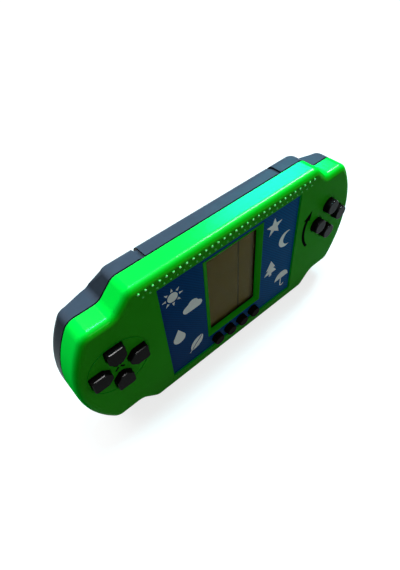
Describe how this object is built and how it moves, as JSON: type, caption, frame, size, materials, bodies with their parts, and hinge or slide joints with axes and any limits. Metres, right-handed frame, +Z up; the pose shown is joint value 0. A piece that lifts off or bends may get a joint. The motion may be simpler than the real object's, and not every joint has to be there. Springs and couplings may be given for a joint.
{
  "type": "handheld game console",
  "caption": "Slab-shaped handheld game console with rounded grips, a small screen in a printed panel, a direction pad, action buttons and function keys that press in.",
  "frame": {"origin": "middle of the body's length and depth, on the flat underside of the middle block", "axes": "+X to the right along the body's length seen from the front, +Y from the face to the back, +Z up the face"},
  "size_m": [0.172, 0.0244, 0.082],
  "materials": {
    "green_shell": "moulded glossy plastic",
    "black_shell": "moulded satin plastic",
    "black_caps": "moulded glossy plastic",
    "blue_panel": "printed plastic sheet",
    "clear_lens": "clear polished",
    "screen_glass": "polarised glass",
    "reflector": "matt foil",
    "zebra_rubber": "striped elastomer",
    "board_laminate": "solder mask",
    "resin": "cured resin",
    "ceramic": "fired ceramic",
    "sleeve": "shrunk sleeve",
    "buzzer_brass": "rolled sheet",
    "wire_sleeve": "soft sleeve",
    "cell_jacket": "printed jacket",
    "contact_steel": "nickel plated",
    "silicone": "moulded silicone",
    "screw_steel": "zinc plated"
  },
  "bodies": {
    "console": {"front_shell": "green_shell", "rear_shell": "black_shell", "case_screws": "screw_steel", "board_screws": "screw_steel", "face_panel": "blue_panel", "screen_lens": "clear_lens", "lcd_glass": "screen_glass", "lcd_reflector": "reflector", "zebra_strip": "zebra_rubber", "main_board": "board_laminate", "chip_blob": "resin", "board_resistors": "ceramic", "board_capacitors": "sleeve", "buzzer": "buzzer_brass", "buzzer_leads": "wire_sleeve", "battery_leads": "wire_sleeve", "battery_upper": "cell_jacket", "battery_lower": "cell_jacket", "contact_bridge": "contact_steel", "contact_positive": "contact_steel", "contact_negative": "contact_steel", "dpad_sheet": "silicone", "action_sheet": "silicone", "key_sheet": "silicone"},
    "dpad_right": {"dpad_right": "black_caps", "dome_dpad_right": "silicone"},
    "dpad_up": {"dpad_up": "black_caps", "dome_dpad_up": "silicone"},
    "dpad_left": {"dpad_left": "black_caps", "dome_dpad_left": "silicone"},
    "dpad_down": {"dpad_down": "black_caps", "dome_dpad_down": "silicone"},
    "action_right": {"action_right": "black_caps", "dome_action_right": "silicone"},
    "action_top": {"action_top": "black_caps", "dome_action_top": "silicone"},
    "action_left": {"action_left": "black_caps", "dome_action_left": "silicone"},
    "action_bottom": {"action_bottom": "black_caps", "dome_action_bottom": "silicone"},
    "key_1": {"key_1": "black_caps", "dome_key_1": "silicone"},
    "key_2": {"key_2": "black_caps", "dome_key_2": "silicone"},
    "key_3": {"key_3": "black_caps", "dome_key_3": "silicone"},
    "key_4": {"key_4": "black_caps", "dome_key_4": "silicone"},
    "battery_door": {"battery_door": "black_shell", "door_screw": "screw_steel"}
  },
  "joints": [
    {"name": "dpad_right_press", "type": "slide", "parent": "console", "child": "dpad_right", "axis": [0, 1, 0], "range_m": [0, 0.0012], "stiffness_N_per_m": 900, "springref_m": -0.0003},
    {"name": "dpad_up_press", "type": "slide", "parent": "console", "child": "dpad_up", "axis": [0, 1, 0], "range_m": [0, 0.0012], "stiffness_N_per_m": 900, "springref_m": -0.0003},
    {"name": "dpad_left_press", "type": "slide", "parent": "console", "child": "dpad_left", "axis": [0, 1, 0], "range_m": [0, 0.0012], "stiffness_N_per_m": 900, "springref_m": -0.0003},
    {"name": "dpad_down_press", "type": "slide", "parent": "console", "child": "dpad_down", "axis": [0, 1, 0], "range_m": [0, 0.0012], "stiffness_N_per_m": 900, "springref_m": -0.0003},
    {"name": "action_right_press", "type": "slide", "parent": "console", "child": "action_right", "axis": [0, 1, 0], "range_m": [0, 0.0012], "stiffness_N_per_m": 900, "springref_m": -0.0003},
    {"name": "action_top_press", "type": "slide", "parent": "console", "child": "action_top", "axis": [0, 1, 0], "range_m": [0, 0.0012], "stiffness_N_per_m": 900, "springref_m": -0.0003},
    {"name": "action_left_press", "type": "slide", "parent": "console", "child": "action_left", "axis": [0, 1, 0], "range_m": [0, 0.0012], "stiffness_N_per_m": 900, "springref_m": -0.0003},
    {"name": "action_bottom_press", "type": "slide", "parent": "console", "child": "action_bottom", "axis": [0, 1, 0], "range_m": [0, 0.0012], "stiffness_N_per_m": 900, "springref_m": -0.0003},
    {"name": "key_1_press", "type": "slide", "parent": "console", "child": "key_1", "axis": [0, 1, 0], "range_m": [0, 0.0012], "stiffness_N_per_m": 900, "springref_m": -0.0003},
    {"name": "key_2_press", "type": "slide", "parent": "console", "child": "key_2", "axis": [0, 1, 0], "range_m": [0, 0.0012], "stiffness_N_per_m": 900, "springref_m": -0.0003},
    {"name": "key_3_press", "type": "slide", "parent": "console", "child": "key_3", "axis": [0, 1, 0], "range_m": [0, 0.0012], "stiffness_N_per_m": 900, "springref_m": -0.0003},
    {"name": "key_4_press", "type": "slide", "parent": "console", "child": "key_4", "axis": [0, 1, 0], "range_m": [0, 0.0012], "stiffness_N_per_m": 900, "springref_m": -0.0003},
    {"name": "battery_door_lift", "type": "slide", "parent": "console", "child": "battery_door", "axis": [0, 1, 0], "range_m": [0, 0.025]}
  ]
}
